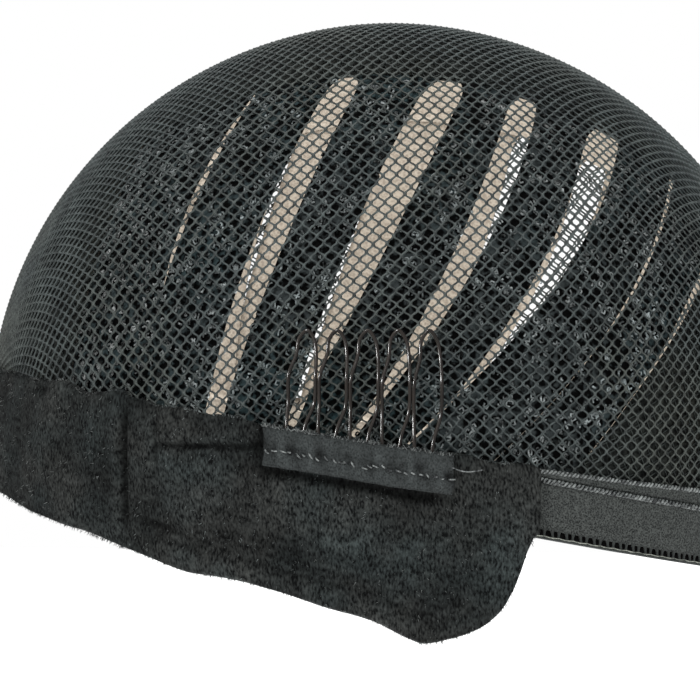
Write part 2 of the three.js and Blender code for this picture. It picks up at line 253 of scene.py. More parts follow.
@dataclass
class MeshData:
    """Vertices, faces and UVs of one piece while it is put together."""

    points: list[Array] = field(default_factory=list)
    quads: list[Array] = field(default_factory=list)
    triangles: list[Array] = field(default_factory=list)
    uvs: list[Array] = field(default_factory=list)
    reliefs: list[Array] = field(default_factory=list)
    count: int = 0

    def add(self, points: Array, quads: Array | None = None, triangles: Array | None = None,
            uv: Array | None = None, relief: Array | None = None) -> None:
        """Adds points, the faces between them, and how far each point stands out of the cloth's even face."""
        flat = points.reshape(-1, 3)
        self.points.append(flat)
        self.uvs.append(np.zeros((len(flat), 2)) if uv is None else uv.reshape(-1, 2))
        self.reliefs.append(np.zeros(len(flat)) if relief is None else relief.ravel())
        if quads is not None:
            self.quads.append(quads.reshape(-1, 4) + self.count)
        if triangles is not None:
            self.triangles.append(triangles.reshape(-1, 3) + self.count)
        self.count += len(flat)

    def make(self, name: str, material: Material, weld: float = 0.0,
             backing: Material | None = None) -> Object:
        """Makes the Blender object, in the row frame and in metres.

        Args:
            name: the object's name.
            material: its finish.
            weld: distance in millimetres within which points become one, or 0.
            backing: finish of the faces on the cap's inside, if it is another.

        Returns:
            The new object.
        """
        points = np.concatenate(self.points)
        points = (points - [0, 0, CapShape.seat]) / 1000
        faces = [face for group in self.quads + self.triangles for face in group.tolist()]
        mesh = bpy.data.meshes.new(name)
        mesh.from_pydata(points.tolist(), [], faces)
        layer = mesh.uv_layers.new(name="cloth")
        corner_vertex = np.empty(len(mesh.loops), dtype=np.int32)
        mesh.loops.foreach_get("vertex_index", corner_vertex)
        layer.data.foreach_set("uv", (np.concatenate(self.uvs) / 1000)[corner_vertex].ravel())
        work = bmesh.new()
        work.from_mesh(mesh)
        heights = np.concatenate(self.reliefs)
        if heights.any():
            stored = work.verts.layers.float.new("relief")
            for vertex, height in zip(work.verts, heights.tolist()):
                vertex[stored] = height
        if weld:
            bmesh.ops.remove_doubles(work, verts=work.verts, dist=weld / 1000)
        bmesh.ops.recalc_face_normals(work, faces=work.faces)
        work.to_mesh(mesh)
        work.free()
        mesh.shade_smooth()
        mesh.materials.append(material)
        if backing:
            mesh.materials.append(backing)
            middle = np.empty(len(mesh.polygons) * 3)
            facing = np.empty(len(mesh.polygons) * 3)
            mesh.polygons.foreach_get("center", middle)
            mesh.polygons.foreach_get("normal", facing)
            middle = middle.reshape(-1, 3) * 1000 + [0, 0, CapShape.seat]
            inward = (CapShape().normal(middle) * facing.reshape(-1, 3)).sum(-1) < -0.5
            mesh.polygons.foreach_set("material_index", inward.astype(np.int32))
        piece = bpy.data.objects.new(name, mesh)
        bpy.context.scene.collection.objects.link(piece)
        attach(piece, "root")
        return piece


def grid_faces(rows: int, columns: int, close_rows: bool = False, close_columns: bool = False) -> Array:
    """Quads of a grid whose points run along the columns first."""
    row = np.arange(rows if close_rows else rows - 1)
    column = np.arange(columns if close_columns else columns - 1)
    r, c = np.meshgrid(row, column, indexing="ij")
    up, on = (r + 1) % rows, (c + 1) % columns
    return np.stack([r * columns + c, r * columns + on, up * columns + on, up * columns + c], -1)


def add_slab(data: MeshData, outer: Array, inner: Array, uv: Array | None = None,
             relief: Array | None = None) -> None:
    """Adds a closed cloth from the grids of its two sides, each rows by columns."""
    rows, columns = outer.shape[:2]
    across = np.concatenate([outer, inner[:, ::-1]], 1)
    both = None if uv is None else np.concatenate([uv, uv[:, ::-1]], 1)
    heights = None if relief is None else np.concatenate([relief, 0 * relief], 1)
    data.add(across, grid_faces(rows, 2 * columns, close_columns=True), uv=both, relief=heights)
    start = data.count - rows * 2 * columns
    for row in (0, rows - 1):
        one = np.arange(columns - 1)
        base = row * 2 * columns
        near, far = base + one, base + 2 * columns - 1 - one
        data.quads.append(np.stack([near, near + 1, far - 1, far], -1) + start)


def tube_frames(path: Array, up: Array) -> tuple[Array, Array]:
    """Two directions square to a path at each of its points."""
    along = unit(np.gradient(path, axis=-2))
    side = unit(np.cross(along, up))
    return side, np.cross(side, along)


def add_tubes(data: MeshData, paths: Array, up: Array, radius: Array | float, sides: int,
              caps: bool = False, flat: float = 1.0) -> None:
    """Adds tubes along many paths at once.

    Args:
        data: the mesh that they go into.
        paths: points, as tubes by steps by 3.
        up: directions at the points, away from the cloth.
        radius: radius at each point, or one for all.
        sides: sides of each tube.
        caps: whether the ends are closed.
        flat: thickness away from the cloth as a share of the width.
    """
    if paths.ndim == 2:
        paths, up = paths[None], up[None]
    count, steps = paths.shape[:2]
    side, out = tube_frames(paths, up)
    turn = np.arange(sides) * 2 * math.pi / sides + math.pi / sides
    reach = np.broadcast_to(np.asarray(radius, float), paths.shape[:2])[..., None, None]
    ring = (
        paths[:, :, None]
        + reach * np.cos(turn)[None, None, :, None] * side[:, :, None]
        + reach * flat * np.sin(turn)[None, None, :, None] * out[:, :, None]
    )
    one = grid_faces(steps, sides, close_columns=True).reshape(-1, 4)
    starts = np.arange(count) * steps * sides
    quads = one[None] + starts[:, None, None]
    fans = None
    if caps:
        first = np.stack([np.zeros(sides - 2, int), np.arange(2, sides), np.arange(1, sides - 1)], -1)
        last = first[:, ::-1] + (steps - 1) * sides
        fans = np.concatenate([first, last])[None] + starts[:, None, None]
    data.add(ring, quads, fans)


def spline(points: Array, steps: int) -> Array:
    """A centripetal curve through points, with that many steps between each two of them."""
    padded = np.concatenate([[2 * points[0] - points[1]], points, [2 * points[-1] - points[-2]]])
    knots = np.concatenate([[0], np.cumsum(np.linalg.norm(np.diff(padded, axis=0), axis=1) ** 0.5)])
    result = []
    for index in range(1, len(padded) - 2):
        t0, t1, t2, t3 = knots[index - 1 : index + 3]
        t = np.linspace(t1, t2, steps, endpoint=False)[:, None]
        p0, p1, p2, p3 = padded[index - 1 : index + 3]
        a1 = (t1 - t) / (t1 - t0) * p0 + (t - t0) / (t1 - t0) * p1
        a2 = (t2 - t) / (t2 - t1) * p1 + (t - t1) / (t2 - t1) * p2
        a3 = (t3 - t) / (t3 - t2) * p2 + (t - t2) / (t3 - t2) * p3
        b1 = (t2 - t) / (t2 - t0) * a1 + (t - t0) / (t2 - t0) * a2
        b2 = (t3 - t) / (t3 - t1) * a2 + (t - t1) / (t3 - t1) * a3
        result.append((t2 - t) / (t2 - t1) * b1 + (t - t1) / (t2 - t1) * b2)
    return np.concatenate([*result, points[-1:]])


def add_node(tree: NodeTree, kind: str, values: dict[str, object] | None = None,
             wires: dict[str, NodeSocket] | None = None) -> Node:
    """Adds a shader node of a kind, with its inputs' values and the outputs that its inputs are linked to."""
    node = tree.nodes.new(f"ShaderNode{kind}")
    for socket, value in (values or {}).items():
        node.inputs[socket].default_value = value
    for socket, source in (wires or {}).items():
        tree.links.new(source, node.inputs[socket])
    return node


def new_material(name: str, values: dict[str, object]) -> tuple[Material, Node]:
    """Makes a material, and returns it and its shader, whose inputs have the given values."""
    made = bpy.data.materials.new(name)
    made.use_nodes = True
    shader = made.node_tree.nodes["Principled BSDF"]
    for socket, value in values.items():
        shader.inputs[socket].default_value = value
    return made, shader


def add_ramp(tree: NodeTree, fac: NodeSocket, dark: Colour, light: Colour, start: float = 0.0) -> NodeSocket:
    """Adds a ramp between two colours, and returns its colour."""
    ramp = add_node(tree, "ValToRGB", wires={"Fac": fac})
    first, last = ramp.color_ramp.elements
    first.color = (*dark, 1)
    first.position = start
    last.color = (*light, 1)
    return ramp.outputs["Color"]


@dataclass(frozen=True)
class ClothFinish:
    """A procedural cloth: two colours, how they mix and how rough the surface is."""

    name: str
    weave: Weave
    dark: Colour
    light: Colour
    scale: float
    roughness: float = 0.8
    bump: float = 0.4
    gloss: float = 0.12
    tint: Colour = (1.0, 1.0, 1.0)
    start: float = 0.0
    # relief: strength of the painted shade in folds and the painted highlight on raised parts
    relief: float = 0.0

    def material(self) -> Material:
        """Makes the material."""
        made, shader = new_material(
            self.name, {"Roughness": self.roughness, "Specular IOR Level": self.gloss})
        tree = made.node_tree
        pattern = tree.nodes.new("ShaderNodeGroup")
        pattern.node_tree = pattern_group(self.weave)
        pattern.inputs["Scale"].default_value = self.scale
        colour = add_ramp(tree, pattern.outputs["Tone"], self.dark, self.light, self.start)
        tinted = add_node(tree, "Mix")
        tinted.data_type = "RGBA"
        tinted.blend_type = "MULTIPLY"
        tinted.inputs[7].default_value = (*self.tint, 1)
        tree.links.new(pattern.outputs["Patch"], tinted.inputs[0])
        tree.links.new(colour, tinted.inputs[6])
        colour = tinted.outputs[2]
        # painted shade in the folds and painted highlight on the raised parts, from the mesh's relief
        # attribute
        if self.relief:
            colour = self.paint_relief_shade_and_highlight(tree, colour)
        tree.links.new(colour, shader.inputs["Base Color"])
        depth = {"Strength": self.bump, "Distance": BUMP_HEIGHT}
        bump = add_node(tree, "Bump", depth, {"Height": pattern.outputs["Height"]})
        tree.links.new(bump.outputs["Normal"], shader.inputs["Normal"])
        return made

    def paint_relief_shade_and_highlight(self, tree: NodeTree, colour: NodeSocket) -> NodeSocket:
        """Paints shade into the cloth's colour in its folds and a painted highlight where the cloth stands
        out, from the mesh's relief heights.
        """
        height = add_node(tree, "Attribute")
        height.attribute_name = "relief"
        limits = {
            "From Min": -0.7, "From Max": 0.6,
            "To Min": 1 - 0.8 * self.relief, "To Max": 1 + 0.6 * self.relief,
        }
        share = add_node(tree, "MapRange", limits, {"Value": height.outputs["Fac"]})
        shaded = add_node(tree, "VectorMath")
        shaded.operation = "SCALE"
        tree.links.new(colour, shaded.inputs[0])
        tree.links.new(share.outputs["Result"], shaded.inputs["Scale"])
        return shaded.outputs["Vector"]


@dataclass(frozen=True)
class WireFinish:
    """Coated spring wire: a glossy dark coat over metal."""

    name: str
    dark: Colour
    light: Colour
    roughness: float
    gloss: float = 0.13

    def material(self) -> Material:
        """Makes the material."""
        made, shader = new_material(
            self.name, {"Roughness": self.roughness, "Specular IOR Level": self.gloss})
        tree = made.node_tree
        place = add_node(tree, "TexCoord")
        noise = add_node(tree, "TexNoise", {"Scale": 260}, {"Vector": place.outputs["Object"]})
        colour = add_ramp(tree, noise.outputs["Fac"], self.dark, self.light)
        tree.links.new(colour, shader.inputs["Base Color"])
        return made


def pattern_group(weave: Weave) -> NodeTree:
    """The shared node group of a cloth pattern, made once, with Tone, Patch and Height outputs."""
    name = f"{weave.value}_pattern"
    known = bpy.data.node_groups.get(name)
    if known:
        return known
    group = bpy.data.node_groups.new(name, "ShaderNodeTree")
    group.interface.new_socket("Scale", in_out="INPUT", socket_type="NodeSocketFloat").default_value = 1000
    for output in ("Tone", "Patch", "Height"):
        group.interface.new_socket(output, in_out="OUTPUT", socket_type="NodeSocketFloat")
    links = group.links
    given = group.nodes.new("NodeGroupInput")
    result = group.nodes.new("NodeGroupOutput")
    pattern = PATTERNS[weave]
    place = add_node(group, "TexCoord")
    size = add_node(group, "VectorMath")
    size.operation = "SCALE"
    links.new(place.outputs["Object" if weave in (Weave.YARN, Weave.LACE) else "UV"], size.inputs[0])
    links.new(given.outputs["Scale"], size.inputs["Scale"])
    whole = size.outputs["Vector"]
    stretched = add_node(
        group, "Mapping", {"Scale": (1, pattern.lengthwise, 1)}, {"Vector": whole}).outputs["Vector"]

    def noise(detail: float, fineness: float, source: NodeSocket) -> NodeSocket:
        values = {"Scale": fineness, "Detail": detail}
        return add_node(group, "TexNoise", values, {"Vector": source}).outputs["Fac"]

    def mixed(share: float, first: NodeSocket,
              second: NodeSocket) -> NodeSocket:
        made = add_node(group, "Mix")
        made.data_type = "FLOAT"
        made.inputs[0].default_value = share
        links.new(first, made.inputs[2])
        links.new(second, made.inputs[3])
        return made.outputs[0]

    def ranged(low: float, high: float, source: NodeSocket) -> NodeSocket:
        return add_node(
            group, "MapRange", {"From Min": low, "From Max": high}, {"Value": source}).outputs["Result"]

    cells = add_node(group, "TexVoronoi", {"Scale": 0.8}, {"Vector": stretched}).outputs["Distance"]
    fine = mixed(pattern.cells, noise(3, 1, stretched), cells)
    both = mixed(pattern.clumps, fine, noise(2, 0.17, whole))
    links.new(ranged(pattern.low, pattern.high, both), result.inputs["Tone"])
    links.new(ranged(0.42, 0.66, noise(2, 0.025, whole)), result.inputs["Patch"])
    links.new(fine, result.inputs["Height"])
    return group


@dataclass(frozen=True)
class Pattern:
    """Proportions of a cloth pattern: stretch along the cloth, shares of cells and clumps, and contrast."""

    lengthwise: float
    cells: float
    clumps: float
    low: float
    high: float


PATTERNS = {
    Weave.YARN: Pattern(1.0, 0.2, 0.3, 0.34, 0.62),
    Weave.LACE: Pattern(1.0, 0.45, 0.25, 0.4, 0.6),
    Weave.PILE: Pattern(0.42, 0.2, 0.28, 0.36, 0.64),
    Weave.KNIT: Pattern(0.85, 0.35, 0.1, 0.33, 0.62),
    Weave.TAPE: Pattern(0.75, 0.35, 0.15, 0.3, 0.62),
}


BUMP_HEIGHT = 0.0003
TEAL = (0.72, 1.12, 1.2)
COOL = (0.9, 1.04, 1.08)
WARM = (1.08, 1.0, 0.9)
NET_YARN = ClothFinish(
    "net_yarn", Weave.YARN, (0.015, 0.0185, 0.019), (0.062, 0.075, 0.074), 900, 0.5, 0.3,
    gloss=0.2, tint=WARM)
MESH_YARN = ClothFinish(
    "mesh_yarn", Weave.YARN, (0.012, 0.015, 0.015), (0.055, 0.064, 0.06), 900, 0.6, 0.3)
LINING_CLOTH = ClothFinish(
    "lining_cloth", Weave.LACE, (0.0015, 0.002, 0.002), (0.02, 0.023, 0.021), 1300, 0.8, 0.8, tint=WARM)
LACE_CLOTH = ClothFinish(
    "lace_cloth", Weave.LACE, (0.0003, 0.0004, 0.0004), (0.036, 0.043, 0.044), 800, 0.7, 1.0,
    gloss=0.05, tint=TEAL, start=0.44)
BACKING = ClothFinish(
    "backing_cloth", Weave.LACE, (0.186, 0.16, 0.13), (0.28, 0.248, 0.206), 1500, 0.85, 0.5)
LACE_THREAD = ClothFinish(
    "lace_thread", Weave.YARN, (0.002, 0.003, 0.003), (0.32, 0.335, 0.33), 420, 0.5, 0.2,
    gloss=0.2, tint=COOL, start=0.35)
# relief=0.85: painted shade in the velvet's folds and grooves, painted highlight on its raised parts
VELVET = ClothFinish(
    "velvet", Weave.PILE, (0.001, 0.0013, 0.0013), (0.028, 0.03, 0.0285), 2500, 0.9, 1.0,
    gloss=0.08, tint=COOL, start=0.15, relief=0.85)
VELVET_FUZZ = ClothFinish(
    "velvet_fuzz", Weave.YARN, (0.003, 0.004, 0.004), (0.14, 0.15, 0.145), 420, 0.8, 0.1,
    tint=COOL, start=0.4)
ELASTIC = ClothFinish(
    "elastic", Weave.KNIT, (0.003, 0.004, 0.004), (0.05, 0.055, 0.052), 3600, 0.7, 0.8, start=0.1)
# Near-black painted shade for the sheet behind the strap's picot holes.
PAINTED_SHADE = ClothFinish(
    "painted_shade_cloth", Weave.LACE, (0.0003, 0.0003, 0.0003), (0.002, 0.002, 0.002), 1300, 1, 0.2, gloss=0.02)
CORD_YARN = ClothFinish(
    "cord_yarn", Weave.YARN, (0.008, 0.01, 0.011), (0.19, 0.205, 0.2), 1500, 0.4, 0.4, gloss=0.3, start=0.3)
PALE_THREAD = ClothFinish(
    "pale_thread", Weave.YARN, (0.03, 0.033, 0.031), (0.24, 0.25, 0.22), 1100, 0.6, 0.3)
# relief=1.0: painted shade in the tape's seam, puckers and towards its edges, painted highlight on the ridges
# over the wire's feet
TAPE = ClothFinish(
    "tape", Weave.TAPE, (0.007, 0.008, 0.008), (0.037, 0.042, 0.042), 3400, 0.7, 0.9,
    gloss=0.08, relief=1.0)
WIRE = WireFinish("wire", (0.002, 0.0018, 0.0015), (0.008, 0.0065, 0.0055), 0.2)


@dataclass(frozen=True)
class Lattice:
    """How the knitted net lies on one side of the dome.

    A place is u and v, the fall times the sine and the cosine of the plan angle, where the fall is 0 at the
    crown and 1 at the widest level. Columns, and rows divided by v, are polynomials of u and v, with the
    terms by rising degree.
    """

    columns: tuple[float, ...] = (
        0, 56.609, 1.478, 5.398, 12.668, -8.086, -10.854, -0.744, -107.012, -15.706, -3.3,
        -10.728, -20.171, 114.468, 38.771, 6.418, -1.491, 9.721, 16.597, -42.332, -19.844,
    )
    rows: tuple[float, ...] = (
        33.954, 3.43, -77.515, 61.846, 83.056, 320.264, -17.977, 203.114, -293.324, -542.923, -67.051,
        30.482, -518.66, 354.833, 450.192, 11.281, 79.958, -24.918, 272.127, -143.182, -144.78,
    )
    degree: int = 5
    limit: float = 1.16
    first_guess: tuple[float, float] = (54.0, 44.0)
    rounds: int = 24
    least_area: float = 200.0
    stride: float = 0.1
    tolerance: float = 0.02

    def polynomial(self, terms: Sequence[float], u: Array, v: Array) -> tuple[Array, Array, Array]:
        """A polynomial's value and its two derivatives."""
        value, by_u, by_v = np.zeros_like(u), np.zeros_like(u), np.zeros_like(u)
        powers = [(whole - b, b) for whole in range(self.degree + 1) for b in range(whole + 1)]
        for factor, (a, b) in zip(terms, powers):
            value += factor * u**a * v**b
            if a:
                by_u += factor * a * u ** (a - 1) * v**b
            if b:
                by_v += factor * b * u**a * v ** (b - 1)
        return value, by_u, by_v

    def locate(self, across: Array, down: Array) -> tuple[Array, Array, Array]:
        """Where lattice places lie, by Newton's method.

        Args:
            across: columns.
            down: rows, 0 on the cap's middle line.

        Returns:
            u, v and whether each place was found on the dome.
        """
        wide, high = self.first_guess
        u, v = np.clip(across / wide, -1, 1), np.clip(down / high, 0, 1)
        for _ in range(self.rounds):
            p, pu, pv = self.polynomial(self.columns, u, v)
            q, qu, qv = self.polynomial(self.rows, u, v)
            miss_p, miss_q = across - p, down - v * q
            qu, qv = v * qu, q + v * qv
            area = pu * qv - pv * qu
            area = np.where(np.abs(area) < self.least_area, self.least_area, area)
            step_u = (miss_p * qv - miss_q * pv) / area
            step_v = (miss_q * pu - miss_p * qu) / area
            u = np.clip(u + np.clip(step_u, -self.stride, self.stride), -1.3, 1.3)
            v = np.clip(v + np.clip(step_v, -self.stride, self.stride), -0.2, 1.3)
        p = self.polynomial(self.columns, u, v)[0]
        q = self.polynomial(self.rows, u, v)[0]
        found = (np.abs(across - p) < self.tolerance) & (np.abs(down - v * q) < self.tolerance)
        return u, v, found & (np.hypot(u, v) < self.limit) & (v > -0.01)

    def points(self, shape: CapShape, u: Array, v: Array, offset: float) -> Array:
        """Places as points on the left, at an offset from the net's outer surface."""
        fall = np.hypot(u, v)
        plan = np.arctan2(u, v)
        high = (shape.height + offset) * np.cos(np.minimum(fall, 1) * math.pi / 2)
        z = np.where(fall < 1, high, (1 - fall) * shape.height * math.pi / 2)
        return shape.wall(plan, z, offset)


@dataclass
class StretchNet:
    """The outer net of knotted zigzag strands, and the finer second mesh under it on the closed panels."""

    shape: CapShape
    lattice: Lattice = Lattice()
    strand_radius: float = 0.245
    knot: float = 0.8
    bow: float = 1.35
    offset: float = -0.5
    tuck_in: float = 3.5
    steps: int = 3
    under_offset: float = -1.12
    under_pitch: float = 1.06
    under_lean: float = 0.33
    under_radius: float = 0.15

    def build(self, material: Material) -> list[Object]:
        """Makes the four quarters, one object each."""
        left = self.strands(self.steps, self.offset)
        along = np.linspace(0, 1, self.steps + 1)
        radius = self.strand_radius * (1 + self.knot * (2 * np.abs(along - 0.5)) ** 3)
        pieces = []
        for panel in Panel:
            name, x_sign, y_sign = panel.value
            paths = left[np.sign(left[:, :, 1].mean(1) + 1e-6) == y_sign] * [x_sign, 1, 1]
            data = MeshData()
            add_tubes(data, paths, self.shape.normal(paths), radius, 3)
            pieces.append(data.make(f"stretch_net_{name}", material))
        return pieces

    def second_layer(self, material: Material) -> list[Object]:
        """Makes the mesh that lies under the net over the crown, the forehead and the nape."""
        paths = self.strands(1, self.under_offset, self.under_pitch, self.under_lean)
        middle = paths[:, 1]
        edge = float(self.shape.section(self.shape.crown_edge)[0])
        over = middle[:, 2] * edge > middle[:, 0] * self.shape.crown_edge
        front = middle[:, 1] < slot_edge(self.shape, SLOTS[0], -1, middle[:, 2])
        back = middle[:, 1] > slot_edge(self.shape, SLOTS[-1], 1, middle[:, 2])
        paths = paths[over | front | back]
        pieces = []
        for name, sign in SIDES.items():
            data = MeshData()
            turned = paths * [sign, 1, 1]
            add_tubes(data, turned, self.shape.normal(turned), self.under_radius, 3)
            pieces.append(data.make(f"under_mesh_{name}", material))
        return pieces

    def strands(self, steps: int, offset: float, pitch: float = 1.0, lean: float = 0.0) -> Array:
        """Paths of the left side's strands from knot to knot.

        Args:
            steps: pieces that each path is divided into.
            offset: distance of the strands' middle outside the net's outer surface.
            pitch: size of the diamonds as a share of the lattice's own.
            lean: turn of the diamonds in radians.

        Returns:
            The paths.
        """
        i, j = np.meshgrid(np.arange(-190, 191), np.arange(-120, 160), indexing="ij")
        keep = (i + j) % 2 == 0
        i, j = i[keep] / 2, j[keep] / 2
        t = np.linspace(0, 1, steps + 1)
        sway = (t + self.bow * (t * t * (3 - 2 * t) - t)) / 2
        paths = []
        for step in (1, -1):
            across = (i[:, None] + step * sway) * pitch
            down = (j[:, None] + t / 2) * pitch
            turned = across * math.cos(lean) - down * math.sin(lean)
            down = across * math.sin(lean) + down * math.cos(lean)
            near = (down > -0.01).all(1) & (down < 60).all(1) & (np.abs(turned) < 80).all(1)
            u, v, found = self.lattice.locate(turned[near], down[near])
            points = self.lattice.points(self.shape, u, v, offset)
            plan = np.arctan2(points[..., 1], points[..., 0])
            inside = (points[..., 2] > self.shape.edge_line(plan) - self.tuck_in).all(1)
            paths.append(points[inside & found.all(1)])
        return np.concatenate(paths)


@dataclass
class Lining:
    """The inner layer: a crown panel, two end panels and the leaning lace strips of both sides."""

    shape: CapShape
    outer: float = -1.45
    wall: float = 0.6
    tuck_in: float = 4.0
    columns: int = 8
    rows: int = 44
    backing: Material | None = None

    def strip_grid(self, index: int, side: float, offset: float) -> tuple[Array, Array]:
        """Points and UVs of one lace strip at an offset, bottom row first."""
        share = np.linspace(0, 1, self.columns + 1)[None]
        rise = np.linspace(0, 1, self.rows + 1)[:, None]
        edge = float(self.shape.section(self.shape.crown_edge, self.outer)[0])
        slope = self.shape.crown_edge / edge

        def across(z: Array, least: float) -> tuple[Array, Array]:
            y = self.strip_y(index, share, z)
            half_x, half_y = self.shape.section(z, offset)
            return half_x * np.sqrt(np.clip(1 - (y / half_y) ** 2, least, 1)), y

        def lower(z: Array) -> Array:
            plan = self.plan(self.strip_y(index, share, z), z, offset)
            return self.shape.edge_line(plan) - self.tuck_in

        low = settle(np.full_like(share, -5.0), lower, 0.4, 30)
        high = settle(np.full_like(share, 60.0), lambda z: slope * across(z, 0)[0] - CLOSED_SLIT, 0.3, 30)
        z = low + rise * (high - low)
        x, y = across(z, 1e-6)
        uv = np.stack([y + 0 * z, z], -1)
        return np.stack([x * side, y, z], -1), uv

    def strip_size(self, index: int) -> tuple[float, float]:
        """Mean width and length of the lace strip of that number."""
        grid = self.strip_grid(index, 1.0, self.outer)[0]
        width = np.linalg.norm(grid[:, -1] - grid[:, 0], axis=-1).mean()
        length = np.linalg.norm(np.diff(grid, axis=0), axis=-1).sum(0).mean()
        return float(width), float(length)

    def strip_y(self, index: int, share: Array, z: Array) -> Array:
        """Place along the cap of a point that lies a share of the way across strip number index."""
        front = slot_edge(self.shape, SLOTS[index - 1], 1, z)
        back = slot_edge(self.shape, SLOTS[index], -1, z)
        return front + share * (back - front)

    def plan(self, y: Array, z: Array, offset: float) -> Array:
        """Plan angle of the wall's point at y on the left."""
        return np.arcsin(np.clip(y / self.shape.section(z, offset)[1], -1, 1))

    def strip(self, index: int, name: str, material: Material) -> Object:
        """Makes the lace strip of that number on the named side."""
        data = MeshData()
        outside, uv = self.strip_grid(index, SIDES[name], self.outer)
        inside, _ = self.strip_grid(index, SIDES[name], self.outer - self.wall)
        add_slab(data, outside, inside, uv)
        return data.make(f"lace_cloth_{index}_{name}", material, backing=self.backing)

    def end_panel(self, slot: Slot, side: int, name: str, material: Material) -> Object:
        """Makes the forehead's panel (side -1) or the nape's (side 1)."""
        heights = np.linspace(-30, self.shape.height - 0.5, 800)
        edge = slot_edge(self.shape, slot, side, heights)
        reach = self.shape.section(heights, self.outer)[1]
        closed = np.abs(edge) >= reach - 0.4
        top = heights[closed & (heights > 40)].min() if (closed & (heights > 40)).any() else heights[-1]
        rise = np.linspace(0, 1, 41)[:, None]
        share = np.linspace(-1, 1, 61)[None]

        def grid(offset: float) -> Array:
            def lower(z: Array) -> Array:
                return self.shape.edge_line(self.end_plan(slot, side, share, z, offset)) - self.tuck_in

            bottom = settle(np.full_like(share, -4.0), lower, 0.4, 30)
            z = bottom + rise * (top - bottom)
            return self.shape.wall(self.end_plan(slot, side, share, z, offset), z, offset)

        return self.cloth(grid, name, material)

    def cloth(self, grid: Callable[[float], Array], name: str, material: Material) -> Object:
        """Makes a panel between the grids of its two sides, from the function that gives them."""
        outside = grid(self.outer)
        data = MeshData()
        add_slab(data, outside, grid(self.outer - self.wall), outside[..., :2])
        return data.make(name, material, backing=self.backing)

    def end_plan(self, slot: Slot, side: int, share: Array, z: Array, offset: float) -> Array:
        """Plan angles across an end panel, from its edge on one side of the cap to the other."""
        start = np.abs(self.plan(slot_edge(self.shape, slot, side, z), z, offset))
        half = math.pi / 2 - start
        return side * (math.pi / 2 + share * half)

    def crown(self, material: Material) -> Object:
        """Makes the crown's panel, between the end panels and above the lace strips."""
        edge = float(self.shape.section(self.shape.crown_edge, self.outer)[0])
        limit = math.atan2(edge, self.shape.crown_edge)
        lean = np.linspace(-limit, limit, 31)[None]
        share = np.linspace(0, 1, 61)[:, None]

        def grid(offset: float) -> Array:
            def seam(slot: Slot, side: int) -> Callable[[Array], Array]:
                return lambda y: slot_edge(self.shape, slot, side, self.over(lean, y, offset)[2])

            front = settle(np.full_like(lean, -60.0), seam(SLOTS[0], 1), 0.5, 40)
            back = settle(np.full_like(lean, 75.0), seam(SLOTS[-1], -1), 0.5, 40)
            y = front + share * (back - front)
            return np.stack(self.over(lean + 0 * y, y, offset), -1)

        return self.cloth(grid, "crown_lining_cloth", material)

    def over(self, lean: Array, y: Array, offset: float) -> tuple[Array, Array, Array]:
        """The wall's point at y whose direction across the cap leans that far from upright."""
        low, high = np.zeros(np.broadcast(lean, y).shape), np.full(np.broadcast(lean, y).shape, 110.0)
        for _ in range(34):
            middle = (low + high) / 2
            half_x, half_y = self.shape.section(middle * np.cos(lean), offset)
            aside = middle * np.sin(lean) / np.maximum(half_x, 1e-6)
            along = y / np.maximum(half_y, 1e-6)
            inside = aside**2 + along**2 < 1
            low, high = np.where(inside, middle, low), np.where(inside, high, middle)
        return low * np.sin(lean), y + 0 * low, low * np.cos(lean)


@dataclass
class LaceCurls:
    """Looped threads that stand on the lace strips."""

    lining: Lining
    per_side: int = 2150
    steps: int = 5
    radius: float = 0.27
    stand: float = 0.25

    def build(self, name: str, material: Material) -> Object:
        """Makes one object with all the curls of the named side, "left" or "right"."""
        rng = np.random.default_rng(7 if name == "left" else 8)
        shape = self.lining.shape
        paths = []
        above = self.lining.outer + self.stand
        grids = [self.lining.strip_grid(index, SIDES[name], above)[0] for index in range(1, len(SLOTS))]
        areas = np.array([np.linalg.norm(grid[:, -1] - grid[:, 0], axis=-1).sum() for grid in grids])
        for index, count in enumerate(rng.multinomial(self.per_side, areas / areas.sum())):
            grid = grids[index]
            rows, columns = grid.shape[:2]
            r = rng.uniform(1, rows - 2.001, count)
            c = rng.uniform(0, columns - 1.001, count)
            row, column = r.astype(int), c.astype(int)
            corner = grid[row, column]
            at = corner + (grid[row + 1, column] - corner) * (r % 1)[:, None]
            at = at + (grid[row, column + 1] - corner) * (c % 1)[:, None]
            out = shape.normal(at)
            across = unit(np.cross(out, [0, 0, 1]))
            upward = np.cross(across, out)
            size = rng.uniform(0.3, 0.75, count)
            sweep = rng.uniform(2.0, 6.0, count)
            start = rng.uniform(0, 2 * math.pi, count)
            t = np.linspace(0, 1, self.steps + 1)
            angle = start[:, None] + sweep[:, None] * t
            wobble = rng.uniform(0, 2 * math.pi, count)[:, None]
            reach = size[:, None] * (1 - 0.3 * t) * (1 + 0.45 * np.sin(1.7 * angle + wobble))
            paths.append(
                at[:, None]
                + (reach * np.cos(angle))[..., None] * across[:, None]
                + (reach * 1.25 * np.sin(angle))[..., None] * upward[:, None]
                + (0.2 * np.sin(2 * angle + wobble))[..., None] * out[:, None]
            )
        joined = np.concatenate(paths)
        data = MeshData()
        add_tubes(data, joined, shape.normal(joined), self.radius, 3)
        return data.make(f"lace_curls_{name}", material)


